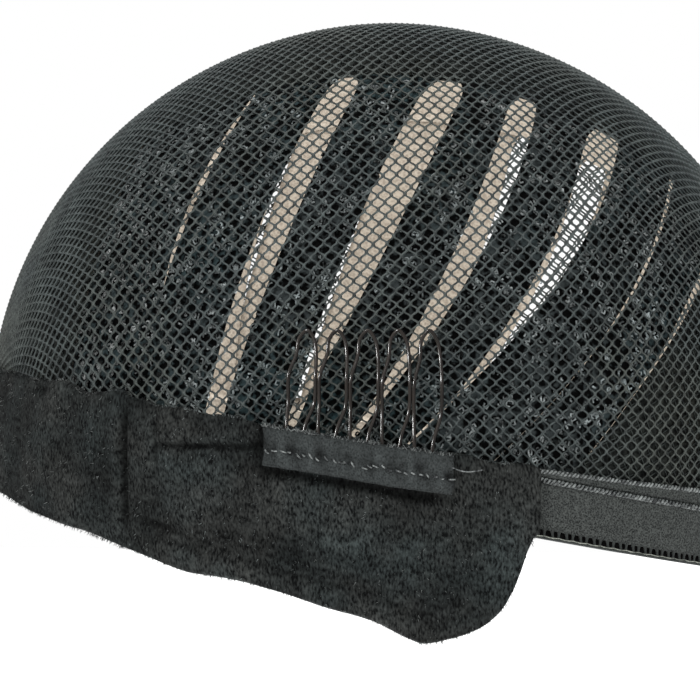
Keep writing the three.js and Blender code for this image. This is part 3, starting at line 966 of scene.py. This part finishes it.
@dataclass
class VelvetBand:
    """The folded velvet over the forehead and temples, down to the two ear tabs."""

    shape: CapShape
    inner: float = 0.5
    wall: float = 2.0
    depth: float = 40.0
    rear: float = 20.8
    lift: float = 1.7
    lift_from: float = 11.0
    lift_to: float = 15.0
    ruffle_depth: float = 2.2
    crease: float = 58.7
    pleat: float = 63.6
    outline: tuple[tuple[float, float], ...] = (
        (0, 0.675), (0.273, 0.7), (0.36, 0.745), (0.456, 0.77), (0.51, 0.797), (0.564, 0.832),
        (0.61, 0.857), (0.68, 0.847), (0.74, 0.877), (0.8, 0.909), (0.827, 0.932), (0.852, 0.975),
        (0.875, 1.008), (0.89, 0.993), (0.918, 0.936), (0.941, 0.863), (0.96, 0.775), (0.973, 0.67),
        (0.984, 0.49), (0.99, 0.39), (1.0, 0.335),
    )

    def depth_at(self, from_front: Array) -> Array:
        """Depth of the band at angles in degrees from the middle of the forehead."""
        fine = np.linspace(0, 1, 400)
        sweep, share = np.array(self.outline).T
        line = np.interp(fine, sweep, share)
        kernel = np.hanning(9)
        soft = np.convolve(np.pad(line, 4, mode="edge"), kernel / kernel.sum(), "valid")
        return self.depth * np.interp(np.abs(from_front) / (90 + self.rear), fine, soft)

    def face(self, from_front: Array, down: Array, off: Array) -> Array:
        """Points of the band.

        Args:
            from_front: angles in degrees from the middle of the forehead, positive to the wearer's left.
            down: distances below the net's edge.
            off: offsets from the band's inner face.

        Returns:
            The points.
        """
        plan = np.radians(from_front - 90)
        raised = self.lift * smooth(np.abs(from_front) - 90, self.lift_from, self.lift_to)
        return self.shape.wall(plan, self.shape.edge_line(plan) - down, self.inner + off + raised)

    def folds(self, from_front: Array, down: Array) -> Array:
        """How far the velvet's face stands out or falls back at a place, in millimetres."""
        along = np.radians(from_front) * DRAPE_RADIUS
        drape = (
            0.22 * np.sin(along / 5.1 + 0.9 * np.sin(down / 7))
            + 0.16 * np.sin(along / 2.3 + down / 5 + 1.7)
            + 0.14 * np.sin(down / 3.4 - along / 13)
        )
        side = np.abs(from_front)
        groove_at = 4.8 + 0.275 * (78.5 - side)
        groove = -1.0 * bell(down, groove_at, 0.55) * window(side, 62.6, 65, 79, 82)
        groove = groove + 0.35 * bell(down, groove_at - 1.9, 1.1) * smooth(side, 62, 68)
        crease = -0.95 * bell(side, self.crease, 0.42) + 0.5 * bell(side, self.crease - 1.4, 0.9)
        crease = crease * window(down, 1, 5, 23, 30)
        pleat = -0.7 * bell(side, self.pleat, 0.4) * window(down, 2, 5, 11, 16)
        panel = 0.3 * smooth(side, self.pleat, 66) * window(down, 9, 12, 21, 25)
        low_fold = -0.75 * bell(down, 24.6 + 0.2 * (side - self.crease), 0.8) * bell(side, 65, 6)
        hollow = -1.1 * bell(side, 43, 1.1) * bell(down, 2.2, 1.1)
        # Hollows beside and under the comb tape; through the velvet's relief shading they also paint the
        # tape's shadow into the velvet's colour.
        beside_tape = -0.8 * bell(side, 77.9, 0.4) * (1 - smooth(down, 9, 14))
        under_tape = -0.9 * bell(down, 9.5, 1.0) * window(side, 77.5, 79, 96, 101)
        return drape + groove + crease + pleat + panel + low_fold + hollow + beside_tape + under_tape

    def ruffle(self, from_front: Array) -> Array:
        """How far the uneven upper edge dips at angles in degrees from the middle of the forehead."""
        side = np.abs(from_front)
        rises = -1.5 * bell(side, 57.2, 1.3) - 1.1 * bell(side, 47, 2.2) + 0.9 * bell(side, 52, 1.7)
        return rises + 0.35 * np.sin(side * 0.9 + 1) * smooth(side, 60, 64) + 0.12 * np.sin(side * 4.1)

    def profile(self, depth: Array, from_front: Array) -> tuple[Array, Array]:
        """Distances down and offsets round the band's section, for each depth and its angle in degrees."""
        side = np.abs(from_front)[:, None]
        hemmed = window(side, 60, 70, 101.5, 104.5)
        arc = np.linspace(0, math.pi, 7)
        half = self.wall / 2
        top_down, top_off = half * (1 - np.sin(arc)), half * (1 - np.cos(arc))
        share = spread(0, 1, 36, ((0.2, 0.11, 2.2), (0.85, 0.1, 1.3)))[1:-1]
        face_down = half + share * (depth[:, None] - 2 * half)
        rise = depth[:, None] - face_down
        hem = (0.35 * bell(rise, 2.6, 1.8) - 0.6 * bell(rise, 5.6, 0.8)) * hemmed
        face_off = self.wall + hem
        low_down = depth[:, None] - top_down[::-1]
        low_off = top_off[::-1] + 0 * low_down
        back_down = half + share[::-5] * (depth[:, None] - 2 * half)
        down = np.concatenate([top_down + 0 * depth[:, None], face_down, low_down, back_down], 1)
        off = np.concatenate([top_off + 0 * depth[:, None], face_off, low_off, 0 * back_down], 1)
        return down, off

    def build(self, material: Material, backing: Material) -> Object:
        """Makes the band, with the backing on its inner faces."""
        end = 90 + self.rear
        creases = [(sign * place, 1.5, 3.0) for sign in (-1, 1) for place in (self.crease, self.pleat)]
        angles = spread(-end, end, 340, creases)
        depth = self.depth_at(angles)
        down, off = self.profile(depth, angles)
        front = off > self.wall * 0.85
        ragged = self.folds(angles[:, None], 60 + 0 * down)
        low = np.where(down > depth[:, None] - 2, 0.6 * ragged, 0)
        shift = low + (0.7 * ragged + self.ruffle(angles[:, None])) * bell(down, 0, self.ruffle_depth)
        stand = np.where(front, self.folds(angles[:, None], down), 0)
        # heights of the folds, which the velvet's material turns into painted shade in the folds and a
        # painted highlight on raised parts
        relief = np.where(front, stand + off - self.wall, 0)
        points = self.face(angles[:, None], down + shift, off + stand)
        uv = np.stack([np.radians(angles)[:, None] * UV_RADIUS + 0 * down, down], -1)
        data = MeshData()
        columns = points.shape[1]
        data.add(points, grid_faces(len(angles), columns, close_columns=True), uv=uv, relief=relief)
        for row in (0, len(angles) - 1):
            ring = points[row]
            middle = ring.mean(0)
            inner = middle + (ring - middle) * 0.3
            start = data.count
            rings = grid_faces(2, columns, close_columns=True)
            data.add(np.stack([ring, inner]), rings, uv=np.stack([uv[row]] * 2))
            near = np.arange(columns) + columns
            fan = np.stack([near, np.roll(near, -1), np.full(columns, 2 * columns)], -1)
            data.triangles.append(fan + start)
            data.add(middle[None], uv=uv[row].mean(0)[None])
        return data.make("velvet_cloth", material, weld=0.002, backing=backing)

    def fuzz(self, material: Material, count: int) -> Object:
        """Makes one object with that many standing fibres of the pile, more of them along the edges."""
        rng = np.random.default_rng(11)
        end = 90 + self.rear
        angle = rng.uniform(-end + 0.2, end - 0.2, count)
        depth = self.depth_at(angle)
        where = rng.uniform(0, 1, count)
        down = np.where(where < 0.25, 0.3, np.where(where < 0.5, depth - 0.3, rng.uniform(0.5, depth - 0.5)))
        off = np.full(count, self.wall - 0.05)
        edge = where < 0.5
        off = np.where(edge, rng.uniform(self.wall * 0.3, self.wall, count), off)
        dip = self.ruffle(angle) * bell(down, 0, self.ruffle_depth)
        base = self.face(angle, down + dip, off + self.folds(angle, down) * (off > self.wall * 0.85))
        out = self.shape.normal(base)
        upward = np.where(where < 0.25, 0.8, np.where(where < 0.5, -0.8, rng.normal(-0.5, 0.4, count)))
        across = unit(np.cross(out, [0, 0, 1]))
        lean = unit(out * rng.uniform(0.5, 1.0, count)[:, None] + np.array([0, 0, 1]) * upward[:, None]
                    + across * rng.normal(0, 0.5, count)[:, None])
        length = rng.uniform(0.35, 0.85, count)
        paths = base[:, None] + lean[:, None] * (length[:, None] * [0, 1.0])[..., None]
        data = MeshData()
        add_tubes(data, paths, np.stack([out, out], 1), np.array([0.09, 0.03]), 3)
        return data.make("velvet_pile", material)


@dataclass
class NapeEdge:
    """The knitted hem behind the ears and the elastic strap under it."""

    shape: CapShape
    start: float = 16.0
    rear: float = 20.8
    hem_at_tab: float = 2.0
    hem_at_nape: float = 6.5
    strap_height: float = 12.3
    hole_pitch: float = 1.5
    cord_step: float = 0.24
    inner: float = 0.5

    def hem(self, angle: Array) -> Array:
        """Height of the hem at plan angles in degrees."""
        from_tab = 90 - np.abs(90 - angle) - self.rear
        return self.hem_at_tab + (self.hem_at_nape - self.hem_at_tab) * from_tab / (90 - self.rear)

    def at(self, angle: Array, down: Array, off: Array | float) -> Array:
        """Points below the net's edge at plan angles in degrees."""
        plan = np.radians(angle)
        return self.shape.wall(plan, self.shape.edge_line(plan) - down, self.inner + off)

    def band(self, top: Callable[[Array], Array], bottom: Callable[[Array], Array], wall: float, rows: int,
             name: str, material: Material, wave: float = 0.0) -> Object:
        """Makes a band between two lines.

        Args:
            top: distance down of its upper edge at an angle.
            bottom: distance down of its lower edge.
            wall: thickness.
            rows: rows of faces.
            name: the object's name.
            material: its finish.
            wave: height of the outer face's ribs.

        Returns:
            The band.
        """
        angle = np.linspace(self.start, 180 - self.start, 220)[None]
        share = np.linspace(0, 1, rows + 1)[:, None]
        down = bottom(angle) + (top(angle) - bottom(angle)) * share
        ribs = wave * np.cos(share * rows * math.pi)
        round_off = 0.25 * (1 - (1 - (2 * share - 1) ** 8))
        data = MeshData()
        uv = np.stack([np.radians(angle) * UV_RADIUS + 0 * down, down], -1)
        add_slab(data, self.at(angle, down, wall + ribs - round_off), self.at(angle, down, 0.0), uv)
        return data.make(name, material)

    def twisted(self, down: Callable[[Array], Array], off: float, radius: float, pitch: float, name: str,
                material: Material) -> Object:
        """Makes a cord of two twisted yarns along the band, at a distance down and an offset."""
        angle = np.linspace(self.start + 0.2, 179.8 - self.start, int(NAPE_RUN / self.cord_step))
        path = self.at(angle, down(angle), off)
        out = self.shape.normal(path)
        side, up = tube_frames(path, out)
        run = np.cumsum(np.linalg.norm(np.diff(path, axis=0, prepend=path[:1]), axis=1))
        turn = run * 2 * math.pi / pitch
        data = MeshData()
        for start in (0, math.pi):
            yarn = path + radius * (np.cos(turn + start)[:, None] * side + np.sin(turn + start)[:, None] * up)
            add_tubes(data, yarn, out, radius * 0.8, 4, caps=True)
        return data.make(name, material)

    def net_cord_line(self, angle: Array) -> Array:
        """Distance down of the net's edge cord, which dips towards the strap near the tabs."""
        from_tab = 90 - np.abs(90 - angle) - self.rear
        return 0.1 + 0.7 * np.exp(-np.clip(from_tab, 0, 90) / 22)

    def strap_top(self, angle: Array) -> Array:
        """Distance down of the strap's upper edge."""
        return self.hem(angle) + SEAM_GAP

    def strap_bottom(self, angle: Array) -> Array:
        """Distance down of the strap's lower edge."""
        return self.strap_top(angle) + self.strap_height

    def picots(self, name: str, cloth: Material,
               thread: Material) -> list[Object]:
        """Makes the strap's looped lower edge: bars between holes, the edge under them and a pale thread."""
        data = MeshData()
        count = int(NAPE_RUN / self.hole_pitch)
        angle = np.linspace(self.start + 0.4, 179.6 - self.start, count)[:, None]
        t = np.linspace(0, 1, 5)[None]
        down = self.strap_bottom(angle) - 2.3 + 1.9 * t
        lean = 0.12 * t * (np.arange(count) % 2 * 2 - 1)[:, None]
        path = self.at(angle + lean, down, 0.75)
        radius = np.array([0.62, 0.4, 0.3, 0.34, 0.5])
        add_tubes(data, path, self.shape.normal(path), radius, 5, flat=0.6)
        fine = np.linspace(self.start + 0.3, 179.7 - self.start, count * 3)
        edge = self.at(fine, self.strap_bottom(fine) - 0.3, 0.8)
        add_tubes(data, edge, self.shape.normal(edge), 0.42, 5, caps=True)
        bars = data.make(name, cloth)
        swing = 0.16 * np.abs(np.sin(np.linspace(0, math.pi * count / 2, count * 3)))
        line = self.at(fine, self.strap_bottom(fine) - 0.72 + swing, 1.2)
        pale = MeshData()
        add_tubes(pale, line, self.shape.normal(line), 0.13, 4, caps=True)
        return [bars, pale.make(f"{name}_thread", thread)]


@dataclass
class SideComb:
    """One comb: wavy hairpin teeth whose feet lie under a cloth tape."""

    shape: CapShape
    side: str
    tape_length: float = 37.2
    tape_height: float = 8.5
    tape_middle: float = -1.0
    tape_inner: float = 4.2
    tape_wall: float = 1.0
    stitch_line: float = 5.2
    stitch_count: int = 26
    fray_count: int = 240
    wire_radius: float = 0.4
    tooth_count: int = 5
    tooth_pitch: float = 6.35
    tooth_set_back: float = 1.2
    tooth_width: float = 5.4
    tooth_top: float = 22.2
    spine_depth: float = 4.0
    near: float = 0.85
    far: float = 3.35
    tooth: tuple[tuple[float, float, float, float], ...] = (
        (0, -0.52, 0.1, 1), (0.2, -0.525, 0.17, 0.9), (0.4, -0.525, 0.47, 0.5), (0.62, -0.5, 0.51, 0.75),
        (0.8, -0.27, 0.49, 0.45), (0.93, -0.2, 0.38, 0.4), (1, 0.1, 0.1, 0.4),
    )

    def flip(self, points: Array) -> Array:
        """The points, on this comb's side of the cap."""
        return points * [SIDES[self.side], 1, 1]

    def plan(self, along: Array) -> Array:
        """Plan angle at a distance along the side."""
        return np.arcsin(along / self.shape.half_length)

    def teeth(self, material: Material) -> Object:
        """Makes the one bent wire of all the teeth."""
        points = []
        base = float(self.shape.edge_line(self.plan(self.tape_middle)))
        for index in range(self.tooth_count):
            from_middle = (index - (self.tooth_count - 1) / 2) * self.tooth_pitch
            middle = self.tape_middle + self.tooth_set_back + from_middle
            legs = [(rise, front, stand) for rise, front, _, stand in self.tooth]
            legs += [(rise, back, stand) for rise, _, back, stand in reversed(self.tooth[:-1])]
            for rise, place, stand in legs:
                plan = float(self.plan(middle + place * self.tooth_width))
                foot = float(self.shape.edge_line(plan)) - self.spine_depth
                height = foot + rise * (base + self.tooth_top - foot)
                points.append(self.shape.wall(plan, height, self.near + stand * (self.far - self.near)))
        path = spline(np.array(points), 6)
        data = MeshData()
        add_tubes(data, self.flip(path), self.flip(self.shape.normal(path)), self.wire_radius, 10, caps=True)
        return data.make(f"comb_wire_{self.side}", material)

    def tape_point(self, along: Array, down: Array, off: Array | float) -> Array:
        """Points of the tape, by the distances along it and below the net's edge."""
        plan = self.plan(along)
        return self.flip(self.shape.wall(plan, self.shape.edge_line(plan) - down, self.tape_inner + off))

    def tape(self, material: Material) -> Object:
        """Makes the tape, raised where the wire's feet lie under it."""
        rng = np.random.default_rng(21)
        share = np.linspace(-0.5, 0.5, 115)[None]
        rise = np.linspace(0, 1, 19)[:, None]
        along = self.tape_middle + self.tape_length * share
        ragged = np.interp(share, np.linspace(-0.5, 0.5, 40), rng.uniform(-0.15, 0.2, 40))
        sag = 0.25 * np.sin(share * 9) + ragged
        top, bottom = 0.15 + 0 * sag, self.tape_height - 0.1 + 0.4 * sag
        down = bottom + rise * (top - bottom)
        ends = 0.25 * np.interp(rise, np.linspace(0, 1, 9), rng.uniform(-1, 1, 9)) * (np.abs(share) * 2) ** 6
        feet = (along - self.tape_middle) / self.tooth_pitch
        between = np.sin(math.pi * rise)
        ridge = 0.28 * bell(feet - np.round(feet), -0.4, 0.14) * between * (np.abs(feet) < 2.9)
        seam = self.stitch_line + 0.3 * np.sin(share * 21)
        ridge = ridge - 0.45 * bell(down, seam, 0.45) * (0.4 + 0.6 * ragged)
        ridge = ridge + 0.2 * np.sin(share * 47 + 3 * rise) * between
        puckers = 0.5 + 0.5 * np.sin(share * 61 + 1.3) * np.sin(share * 23)
        ridge = ridge - 0.5 * bell(down, 4.1 + 0.4 * np.sin(share * 17), 0.8) * puckers
        edge = 0.45 * (1 - (1 - (2 * rise - 1) ** 10) * (1 - (2 * share) ** 24))
        outside = self.tape_point(along + ends, down, self.tape_wall + ridge - edge)
        inside = self.tape_point(along + ends, down, 0.0)
        data = MeshData()
        # the relief heights become painted shade in the seam, puckers and edges and a painted highlight on
        # the ridges
        add_slab(data, outside, inside, np.stack([along + 0 * down, down], -1), ridge - 0.6 * edge)
        return data.make(f"comb_tape_cloth_{self.side}", material)

    def stitches(self, material: Material) -> Object:
        """Makes the tape's hand stitches, the frayed threads of its upper edge and one loose thread."""
        rng = np.random.default_rng(5 if self.side == "left" else 6)
        data = MeshData()

        def sew(path: Array, radius: float, sides: int, caps: bool) -> None:
            add_tubes(data, path, self.flip(self.shape.normal(self.flip(path))), radius, sides, caps=caps)

        count = self.stitch_count
        place = self.tape_middle + np.linspace(-0.48, 0.47, count) * self.tape_length
        place = place + rng.normal(0, 0.25, count)
        length = rng.uniform(0.5, 1.3, count)
        slant = rng.normal(0.35, 0.4, count)
        t = np.linspace(0, 1, 6)[None]
        along = place[:, None] + length[:, None] * t
        down = self.stitch_line + rng.normal(0, 0.3, count)[:, None] + slant[:, None] * (t - 0.5)
        sew(self.tape_point(along, down, self.tape_wall - 0.12 + 0.42 * np.sin(math.pi * t)), 0.17, 5, True)
        count = self.fray_count
        along = self.tape_middle + rng.uniform(-0.5, 0.5, count) * self.tape_length
        t = np.linspace(0, 1, 4)[None]
        reach = rng.uniform(0.3, 1.0, count)
        drift = rng.normal(0, 0.45, count)
        off = rng.uniform(0.3, 1.0, count)[:, None] + rng.normal(0.1, 0.2, count)[:, None] * t
        frayed = self.tape_point(along[:, None] + drift[:, None] * t, 0.5 - reach[:, None] * t, off)
        sew(frayed, 0.09, 3, False)
        t = np.linspace(0, 1, 12)
        along = self.tape_middle + self.tape_length / 2 - 1 + 6.5 * t
        sew(self.tape_point(along, 2.4 + 0.7 * np.sin(3.4 * t), 0.6), 0.13, 5, True)
        return data.make(f"comb_stitches_{self.side}", material)


# Each lamp's name, place in metres, power in watts, width, and whether it lights the shiny pieces alone.
LAMPS = (
    ("key", (0.9, -0.3, 0.75), 5, 0.35, False),
    ("high_spark", (0.36, -0.16, 0.42), 9, 0.06, True),
    ("side_spark", (0.36, -0.42, 0.06), 9, 0.06, True),
    ("fill", (0.8, 0.8, 0.25), 3, 0.9, False),
    ("top", (0.0, 0.0, 1.1), 5, 0.9, False),
    ("under", (0.0, 0.0, -0.32), 1.6, 0.14, False),
)


@dataclass
class Studio:
    """Pale floor, soft light and the camera of the photograph."""

    floor_height: float = -0.42
    eye: tuple[float, float, float] = (0.49894, 0.03389, -0.0761)
    lens: float = 105.82
    behind: float = 5.0
    aim: tuple[float, float, float] = (0.0, 0.0, -0.06)

    def build(self, shiny: Sequence[Object]) -> None:
        """Makes the floor, the lights, the world and the camera.

        Args:
            shiny: pieces to which small lamps of their own give highlights.
        """
        scene = bpy.context.scene
        mesh = bpy.data.meshes.new("floor")
        work = bmesh.new()
        bmesh.ops.create_grid(work, x_segments=2, y_segments=2, size=3)
        work.to_mesh(mesh)
        work.free()
        floor = bpy.data.objects.new("floor", mesh)
        floor.location.z = self.floor_height
        scene.collection.objects.link(floor)
        pale, _ = new_material("floor", {
            "Base Color": (0.95, 0.95, 0.95, 1), "Roughness": 0.9,
            "Emission Color": (1, 1, 1, 1), "Emission Strength": 0.5,
        })
        mesh.materials.append(pale)
        world = bpy.data.worlds.new("studio")
        world.use_nodes = True
        sky = world.node_tree.nodes["Background"].inputs
        sky["Color"].default_value = (1, 1, 1, 1)
        sky["Strength"].default_value = 1.0
        scene.world = world
        lit = bpy.data.collections.new("shiny")
        for piece in shiny:
            lit.objects.link(piece)
        for name, place, power, size, only in LAMPS:
            lamp = self.light(name, place, power, size)
            if only:
                lamp.light_linking.receiver_collection = lit
        camera = bpy.data.cameras.new("camera")
        camera.lens = self.lens
        camera.sensor_width = 36
        camera.clip_start = 0.01
        eye = bpy.data.objects.new("camera", camera)
        behind = math.radians(self.behind)
        back = Vector((math.cos(behind), math.sin(behind), 0))
        right = Vector((0, 0, 1)).cross(back)
        turn = Matrix((right, (0, 0, 1), back)).transposed()
        eye.matrix_world = Matrix.Translation(self.eye) @ turn.to_4x4()
        scene.collection.objects.link(eye)
        scene.camera = eye
        scene.view_settings.view_transform = "Standard"

    def light(self, name: str, place: tuple[float, float, float], power: float,
              size: float) -> Object:
        """Adds a soft light that faces the object, and returns it."""
        lamp = bpy.data.lights.new(name, "AREA")
        lamp.energy = power
        lamp.shape = "DISK"
        lamp.size = size
        holder = bpy.data.objects.new(name, lamp)
        holder.location = place
        towards = Vector(self.aim) - Vector(place)
        holder.rotation_euler = towards.to_track_quat("-Z", "Y").to_euler()
        holder.visible_camera = False
        bpy.context.scene.collection.objects.link(holder)
        return holder


def report(name: str, pieces: Sequence[Object]) -> None:
    """Logs how many triangles a sub-assembly has."""
    total = sum(len(polygon.vertices) - 2 for piece in pieces for polygon in piece.data.polygons)
    log.info("%s: %d pieces, %d triangles", name, len(pieces), total)


def main() -> None:
    """Builds every sub-assembly in order."""
    logging.basicConfig(level=logging.INFO, format="%(name)s: %(message)s", stream=sys.stdout)
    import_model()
    shape = CapShape()

    net = StretchNet(shape).build(NET_YARN.material())
    for piece in net:
        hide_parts("dome_net")
    report("stretch net", net)
    under = StretchNet(shape).second_layer(MESH_YARN.material())
    report("second mesh layer", under)

    backing = BACKING.material()
    lining = Lining(shape, backing=backing)
    panel_cloth, lace_cloth = LINING_CLOTH.material(), LACE_CLOTH.material()
    crown = lining.crown(panel_cloth)
    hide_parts("crown_lining")
    forehead = lining.end_panel(SLOTS[0], -1, "forehead_lining_cloth", panel_cloth)
    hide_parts("forehead_lining")
    nape = lining.end_panel(SLOTS[-1], 1, "nape_lining_cloth", panel_cloth)
    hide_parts("nape_lining")
    thread = LACE_THREAD.material()
    strips, curls = [], []
    for side in SIDES:
        loops = LaceCurls(lining).build(side, thread)
        curls.append(loops)
        for index in range(1, len(SLOTS)):
            strip = lining.strip(index, side, lace_cloth)
            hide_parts(f"lace_strip_{index}_{side}")
            lining.strip_size(index)
            strips.append(strip)
    report("lining", [crown, forehead, nape, *strips])
    report("lace curls", curls)

    band = VelvetBand(shape)
    velvet = band.build(VELVET.material(), backing)
    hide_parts("velvet_band")
    pile = band.fuzz(VELVET_FUZZ.material(), 7500)
    report("velvet band", [velvet, pile])

    nape_edge = NapeEdge(shape)
    elastic, yarn = ELASTIC.material(), CORD_YARN.material()
    hem = nape_edge.band(lambda a: 0 * a + 0.2, nape_edge.hem, 1.0, 4, "nape_hem_knit", elastic)
    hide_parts("nape_hem")
    strap = nape_edge.band(nape_edge.strap_top, lambda a: nape_edge.strap_bottom(a) - 2.0, 1.2, 14,
                           "nape_strap_elastic", elastic, 0.05)
    # the strap's back sheet is coloured near black: painted shade that shows through the picot holes
    back = nape_edge.band(nape_edge.strap_top, lambda a: nape_edge.strap_bottom(a) - 0.3, 0.35, 3,
                          "nape_strap_back", PAINTED_SHADE.material())
    for piece in (strap, back):
        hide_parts("nape_strap")
    net_cord = nape_edge.twisted(nape_edge.net_cord_line, 0.75, 0.34, 1.75, "net_edge_cord", yarn)
    strap_cord = nape_edge.twisted(
        lambda a: nape_edge.strap_top(a) + 0.2, 1.1, 0.38, 1.85, "strap_edge_cord", yarn)
    picots = nape_edge.picots("strap_picots", elastic, PALE_THREAD.material())
    report("nape edge", [hem, strap, back, net_cord, strap_cord, *picots])

    tape, wire = TAPE.material(), WIRE.material()
    wires = []
    for side in SIDES:
        comb = SideComb(shape, side)
        cloth, teeth, stitches = comb.tape(tape), comb.teeth(wire), comb.stitches(yarn)
        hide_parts(f"comb_tape_{side}")
        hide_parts(f"comb_teeth_{side}")
        wires.append(teeth)
        report(f"comb {side}", [cloth, teeth, stitches])

    Studio().build(wires)


if __name__ == "__main__":
    main()
